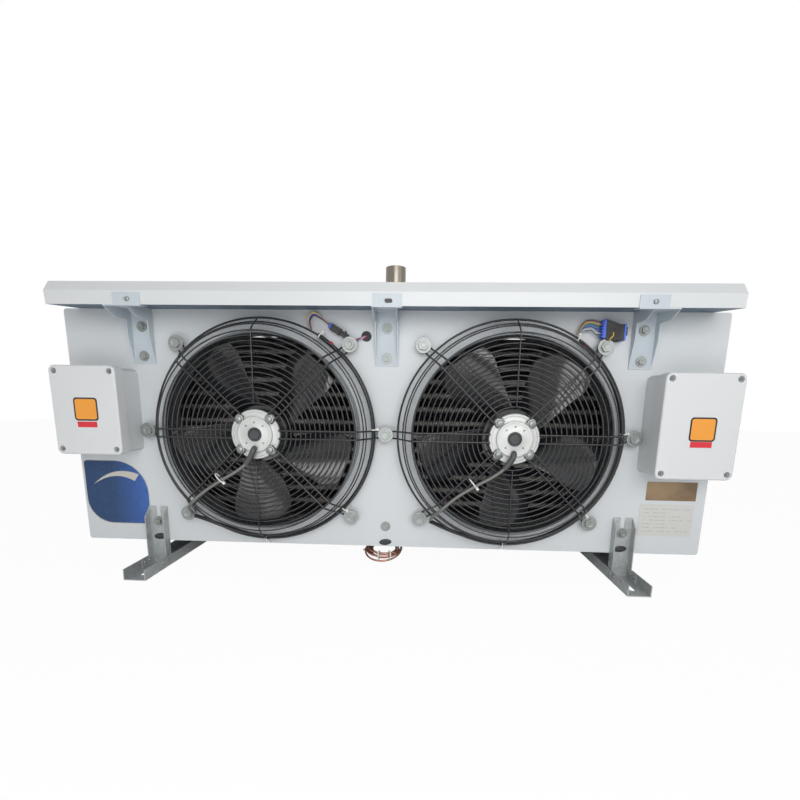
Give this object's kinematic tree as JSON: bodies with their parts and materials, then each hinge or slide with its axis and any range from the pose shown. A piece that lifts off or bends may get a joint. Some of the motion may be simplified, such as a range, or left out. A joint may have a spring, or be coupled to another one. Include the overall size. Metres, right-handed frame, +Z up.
{
  "type": "walk-in unit cooler",
  "caption": "Ceiling-hung fan coil cooler for a cold room, with axial fans under wire guards, a sloping drip tray, hanging rails and electrical boxes.",
  "frame": {"origin": "on the floor plane under the middle of the two hanging rails, at the bottom centre of the box", "axes": "+Z up as pictured, standing on the hanging rails with the drip tray on top; -Y is the air outlet side with the fans; +X to the right seen from that side. Turned over about X for hanging."},
  "size_m": [1.28, 0.6, 0.668],
  "materials": {
    "casing_paint": "satin powder coat",
    "tray_paint": "satin powder coat",
    "liner_paint": "dark satin paint",
    "galvanised": "galvanised",
    "zinc": "zinc plated",
    "stainless": "turned",
    "fin_aluminium": "mill",
    "motor_aluminium": "die cast",
    "copper": "drawn copper",
    "brass_plate": "brushed",
    "label_plate": "matte",
    "guard_black": "black powder coat",
    "rotor_black": "black gloss",
    "blade_black": "moulded",
    "box_plastic": "moulded",
    "black_rubber": "matte",
    "sleeve_black": "sleeving",
    "lead_grey": "jacket",
    "connector_black": "moulded"
  },
  "bodies": {
    "root": {"front_panel": "casing_paint", "side_cover_left": "casing_paint", "side_cover_right": "casing_paint", "bottom_plate": "casing_paint", "rear_cross_rail": "galvanised", "fan_divider": "galvanised", "drip_tray": "tray_paint", "tray_inner_panel": "liner_paint", "drain_stub": "stainless", "tray_bracket_left": "casing_paint", "tray_bracket_centre": "casing_paint", "tray_bracket_right": "casing_paint", "rear_strap_left": "casing_paint", "rear_strap_right": "casing_paint", "bracket_bolts": "zinc", "hanger_bolts": "zinc", "rubber_plugs": "black_rubber", "coil_fins": "fin_aluminium", "coil_end_plate_left": "galvanised", "coil_end_plate_right": "galvanised", "return_bends": "copper", "suction_header": "copper", "suction_tail": "copper", "capillary_coil": "copper", "coil_clips": "galvanised", "guard_left": "guard_black", "guard_right": "guard_black", "guard_spacers": "zinc", "guard_bolts": "zinc", "motor_bolts": "zinc", "box_screws": "zinc", "rating_plate": "label_plate", "brass_plate": "brass_plate", "fan_sleeve_left": "sleeve_black", "fan_sleeve_right": "sleeve_black", "wire_grommet": "black_rubber", "latch_connector": "connector_black", "block_connector": "connector_black", "fan_ring_left": "casing_paint", "fan_ring_right": "casing_paint", "motor_stator_left": "motor_aluminium", "motor_stator_right": "motor_aluminium", "motor_lead_left": "lead_grey", "motor_lead_right": "lead_grey", "motor_elbow_left": "connector_black", "motor_elbow_right": "connector_black", "box_base_left": "box_plastic", "box_base_right": "box_plastic", "box_lid_left": "box_plastic", "box_lid_right": "box_plastic", "hanging_rail_left": "galvanised", "hanging_rail_right": "galvanised", "front_hanger_left": "galvanised", "front_hanger_right": "galvanised", "rear_hanger_left": "galvanised", "rear_hanger_right": "galvanised"},
    "fan_left": {"motor_rotor_left": "rotor_black", "impeller_left": "blade_black"},
    "fan_right": {"motor_rotor_right": "rotor_black", "impeller_right": "blade_black"}
  },
  "joints": [
    {"name": "fan_left_spin", "type": "hinge", "parent": "root", "child": "fan_left", "pos_m": [-0.24, -0.24, 0.287], "axis": [0, 1, 0], "continuous": true},
    {"name": "fan_right_spin", "type": "hinge", "parent": "root", "child": "fan_right", "pos_m": [0.24, -0.24, 0.287], "axis": [0, 1, 0], "continuous": true}
  ]
}
